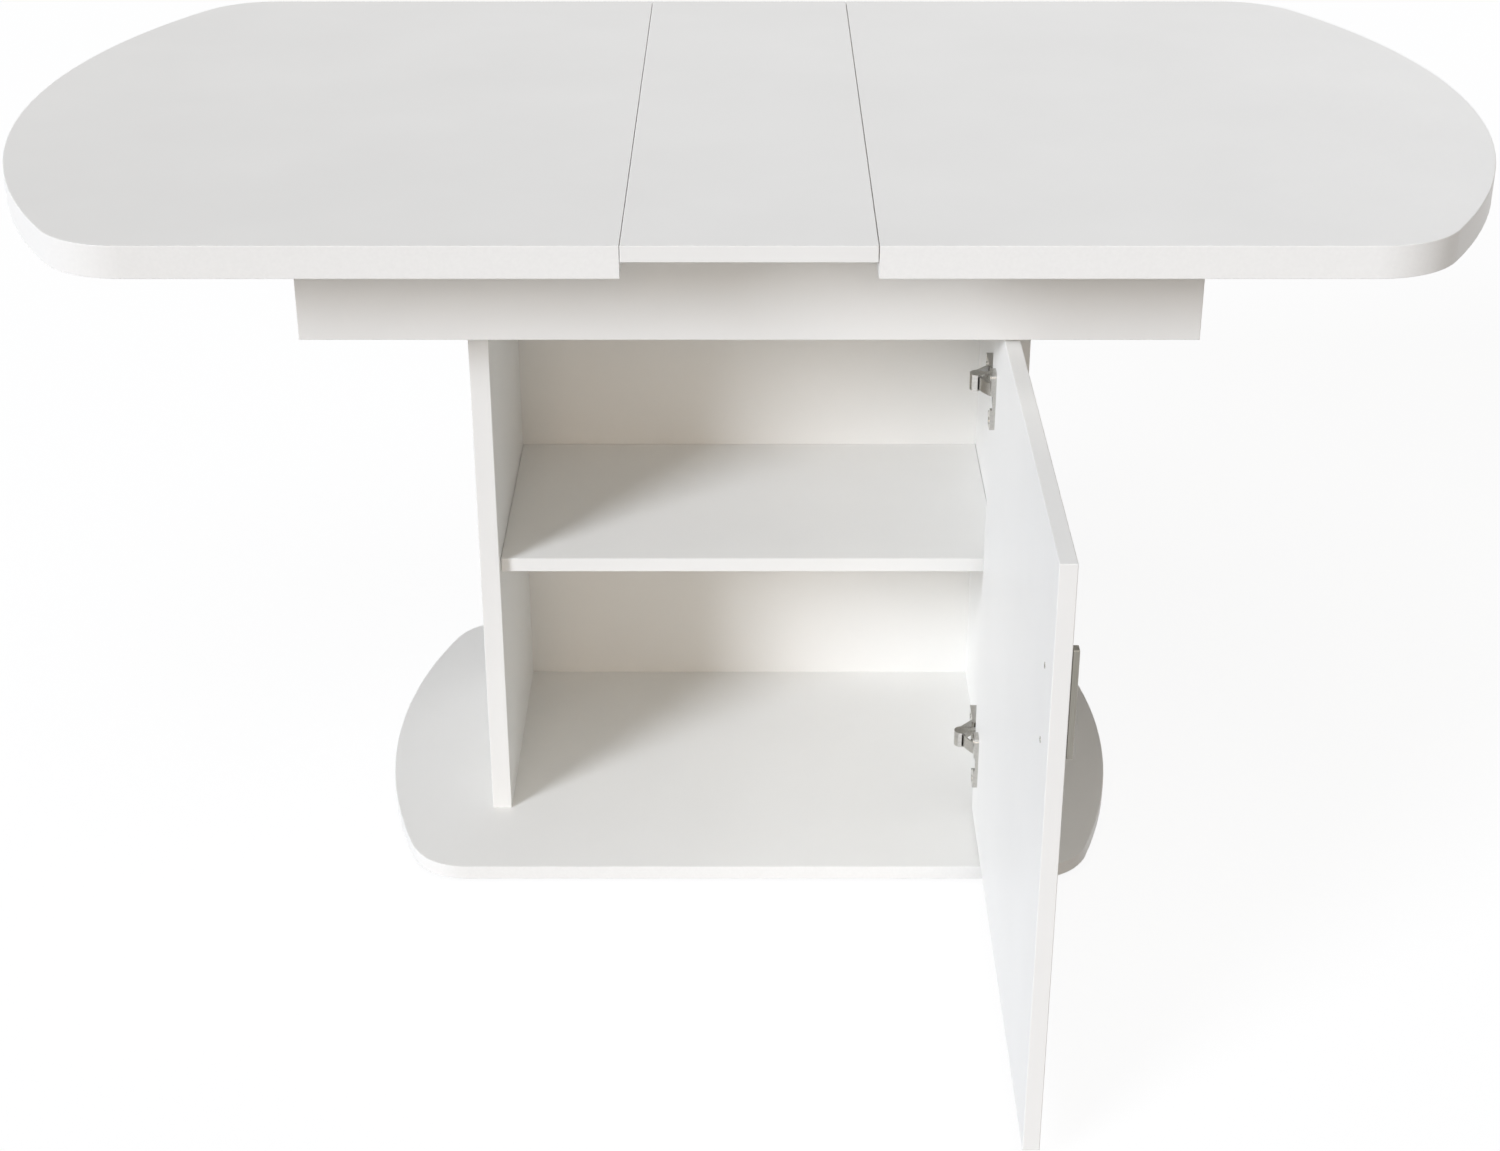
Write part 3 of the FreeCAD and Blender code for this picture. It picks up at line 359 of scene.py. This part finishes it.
def screw_grid(low, high, rise, shank):
    """Points of one screw along +X: radius and depth along the profile, swept round the axis."""
    radius = (high[1] - low[1]) / 2
    length = high[0] - low[0]
    dome = np.linspace(0, 1, DOME_STEPS)
    crown = CROWN_SHARE * rise
    radii = np.concatenate([dome * radius, [radius, shank, shank, 0]])
    depth = np.concatenate([crown * dome ** DOME_POWER, [rise, rise, length, length]])
    angle = np.linspace(0, 2 * np.pi, ROUND_STEPS, endpoint=False)
    across = radii[:, None] * np.cos(angle)
    up = radii[:, None] * np.sin(angle)
    dip = cross_dip(across, up, CROSS_ARM_SHARE * radius, CROSS_DEPTH_SHARE * rise)
    dip[DOME_STEPS:] = 0
    x = low[0] + depth[:, None] + dip
    middle = (low + high) / 2
    return np.stack([x, middle[1] + across, middle[2] + up], axis=-1)


print("a screw has", ROUND_STEPS, "points round its axis and", DOME_STEPS, "over its dome")

# %% [markdown]
# A grid becomes a mesh when each point is joined to its neighbours in both directions. At both ends
# of the axis a whole row of points falls together, so those are merged, and the faces are turned
# outwards. Marking the steep edges as sharp keeps the rim of the head crisp under smooth shading.
# Each set of screws rides on the same body as the plain set it stands for, so the two always move
# alike.

# %% Swap the plain screws
MERGE_MM = 0.0001
CRISP_DEGREES = 40
HEAD_AND_SHANK_MM = {"hinge_plate_screws": (0.8, 2.0), "hinge_cup_screws": (0.8, 2.0),
                     "hinge_arm_screws": (1.2, 2.6), "handle_screws": (0.8, 2.0)}


def grid_faces(rows, columns, first):
    """Quads of a grid that closes round its second parameter, as corner numbers from first."""
    row, column = np.meshgrid(np.arange(rows - 1), np.arange(columns), indexing="ij")
    after = (column + 1) % columns
    corners = np.stack([row * columns + column, (row + 1) * columns + column,
                        (row + 1) * columns + after, row * columns + after], axis=-1)
    return corners.reshape(-1, 4) + first


def closed_mesh(name, points, faces):
    """A mesh from points and quads, with its poles merged and its faces turned outwards."""
    mesh = bpy.data.meshes.new(name)
    mesh.from_pydata(points.tolist(), [], faces.tolist())
    work = bmesh.new()
    work.from_mesh(mesh)
    bmesh.ops.remove_doubles(work, verts=work.verts, dist=MERGE_MM * MM)
    bmesh.ops.recalc_face_normals(work, faces=work.faces)
    work.to_mesh(mesh)
    work.free()
    mesh.shade_smooth()
    mesh.set_sharp_from_angle(angle=math.radians(CRISP_DEGREES))
    return mesh


def cross_head_screws(node, rise_mm, shank_mm):
    """Swap plain screws for ones with a cross in the head, riding on the same body."""
    grids = [screw_grid(low, high, rise_mm * MM, shank_mm * MM) for low, high in screws_in(node)]
    rows, columns = grids[0].shape[:2]
    faces = [grid_faces(rows, columns, number * rows * columns) for number in range(len(grids))]
    points = np.concatenate([grid.reshape(-1, 3) for grid in grids])
    mesh = closed_mesh("driven_" + node, points, np.concatenate(faces))
    mesh.materials.append(finishes[slot_of[node]])
    piece = bpy.data.objects.new(mesh.name, mesh)
    bpy.context.scene.collection.objects.link(piece)
    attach(piece, body_of[node])
    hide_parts(node)
    print("made", len(grids), "screws for", node)


for node, (rise_mm, shank_mm) in HEAD_AND_SHANK_MM.items():
    cross_head_screws(node, rise_mm, shank_mm)

# %% [markdown]
# The camera stands in front of the table at about eye height and looks down at it. Its place was
# worked out from the straight edges in the photograph, as was its focal length in pixels. The
# photograph is cropped a little off the optical axis, which the lens shift stands for.

# %% Camera
IMAGE_WIDTH = 1500
IMAGE_HEIGHT = 1151
FOCAL_PIXELS = 2466.5
AXIS_PIXEL = (749.25, 537.6)
LOOK_DOWN_DEGREES = 26.6
CAMERA_PLACE = (0.0, -2.3926, 1.466)
SENSOR_MM = 36.0
FARTHEST_SEEN = 100.0

lens = bpy.data.cameras.new("catalogue camera")
lens.sensor_width = SENSOR_MM
lens.lens = FOCAL_PIXELS * SENSOR_MM / IMAGE_WIDTH
lens.shift_x = (IMAGE_WIDTH / 2 - AXIS_PIXEL[0]) / IMAGE_WIDTH
lens.shift_y = (AXIS_PIXEL[1] - IMAGE_HEIGHT / 2) / IMAGE_WIDTH
lens.clip_end = FARTHEST_SEEN
camera = bpy.data.objects.new("catalogue camera", lens)
camera.location = CAMERA_PLACE
camera.rotation_euler = (math.radians(90 - LOOK_DOWN_DEGREES), 0, 0)
bpy.context.scene.collection.objects.link(camera)
bpy.context.scene.camera = camera
print("lens", round(lens.lens, 2), "mm, shift", round(lens.shift_x, 4), round(lens.shift_y, 4))

# %% [markdown]
# The table stands on a plain white studio floor. To look white without flooding the table with
# light, the floor mixes its own shading with a white glow that only the camera and mirror-like
# reflections see. A fifth or so of its own light and shade is kept, so the table's soft shadow
# stays, and the glow is just enough to bring the lit floor up to white.

# %% Studio floor
FLOOR_HALF = 9.0
FLOOR_SHADING = 0.22
FLOOR_GLOW = 0.905

floor_mesh = bpy.data.meshes.new("studio floor")
floor_mesh.from_pydata([(-FLOOR_HALF, -FLOOR_HALF, 0), (FLOOR_HALF, -FLOOR_HALF, 0),
                        (FLOOR_HALF, FLOOR_HALF, 0), (-FLOOR_HALF, FLOOR_HALF, 0)],
                       [], [(0, 1, 2, 3)])
floor = bpy.data.objects.new("studio floor", floor_mesh)
bpy.context.scene.collection.objects.link(floor)


def seen_directly(tree):
    """1 for rays that show the background: from the camera, in gloss or through glass."""
    path = add(tree, "ShaderNodeLightPath")
    mirror = add(tree, "ShaderNodeMath", operation="MAXIMUM",
                 links={0: (path, "Is Camera Ray"), 1: (path, "Is Glossy Ray")})
    return add(tree, "ShaderNodeMath", operation="MAXIMUM",
               links={0: (mirror, 0), 1: (path, "Is Transmission Ray")})


paint = bpy.data.materials.new("white studio floor")
paint.use_nodes = True
paint.node_tree.nodes.clear()
matt = add(paint.node_tree, "ShaderNodeBsdfDiffuse", {"Color": linear("#D2D2D2")})
glow = add(paint.node_tree, "ShaderNodeEmission",
           {"Color": linear("#FFFFFF"), "Strength": FLOOR_GLOW / (1 - FLOOR_SHADING)})
share = add(paint.node_tree, "ShaderNodeMath", {1: 1 - FLOOR_SHADING},
            {0: (seen_directly(paint.node_tree), 0)}, operation="MULTIPLY")
mixed = add(paint.node_tree, "ShaderNodeMixShader",
            links={0: (share, 0), 1: (matt, 0), 2: (glow, 0)})
add(paint.node_tree, "ShaderNodeOutputMaterial", links={"Surface": (mixed, 0)})
floor_mesh.materials.append(paint)
print("floor", 2 * FLOOR_HALF, "m wide")

# %% [markdown]
# Behind the floor, the world does the same. What the camera and mirror-like reflections see of it
# is plain white, and everything else gets only a little of its light, as an even fill.

# %% Backdrop
WORLD_FILL = 0.14
WORLD_WHITE = 1.0

world = bpy.data.worlds.new("white studio")
bpy.context.scene.world = world
world.use_nodes = True
world.node_tree.nodes.clear()
level = add(world.node_tree, "ShaderNodeMapRange", {"To Min": WORLD_FILL, "To Max": WORLD_WHITE},
            {"Value": (seen_directly(world.node_tree), 0)})
sky = add(world.node_tree, "ShaderNodeBackground", {"Color": linear("#FFFFFF")},
          {"Strength": (level, 0)})
add(world.node_tree, "ShaderNodeOutputWorld", links={"Surface": (sky, 0)})
print("fill light", WORLD_FILL)

# %% [markdown]
# One strong lamp does most of the work. Its bearing and height are read from the shadow that the
# left panel throws across the shelf and from how far light reaches in under the top. Both ends of
# the table are equally bright in the photograph, so its rays are parallel, like those of a lamp far
# away, and spread over a wide angle for a soft shadow edge. Weaker ones overhead and in front lift
# the top and open the shadows in the cabinet, and a low one keeps the back from going dull. The
# shadows are a little warmer than the lit boards, so the front one is warm and the key cool. The
# back one is left out of glossy reflections, or it would glare off the top.

# %% Studio lamps
LAMP_DISTANCE = 4.0


def wide_lamp(name, bearing, height, strength, spread, colour):
    """Parallel light, angles in degrees: bearing 0 is the table's left end, 90 is its front."""
    turn, rise = math.radians(bearing), math.radians(height)
    towards = Vector((-math.cos(turn) * math.cos(rise), -math.sin(turn) * math.cos(rise),
                      math.sin(rise)))
    light = bpy.data.lights.new(name, "SUN")
    light.energy = strength
    light.angle = math.radians(spread)
    light.color = linear(colour)[:3]
    lamp = bpy.data.objects.new(name, light)
    lamp.location = LAMP_DISTANCE * towards
    lamp.rotation_mode = "QUATERNION"
    lamp.rotation_quaternion = (-towards).to_track_quat("-Z", "Y")
    bpy.context.scene.collection.objects.link(lamp)
    return lamp


lamps = [wide_lamp("key lamp", bearing=46, height=22.8, strength=2.28, spread=20,
                   colour="#F0F5FF"),
         wide_lamp("overhead lamp", bearing=90, height=70, strength=0.58, spread=40,
                   colour="#FFFFFF"),
         wide_lamp("front lamp", bearing=90, height=16, strength=0.44, spread=25,
                   colour="#FFE8D2")]
back_lamp = wide_lamp("back lamp", bearing=250, height=6, strength=0.65, spread=14,
                      colour="#FFFFFF")
back_lamp.visible_glossy = False
bpy.context.scene.view_settings.view_transform = "Standard"
print("lamp strengths:", {lamp.name: round(lamp.data.energy, 2) for lamp in [*lamps, back_lamp]})
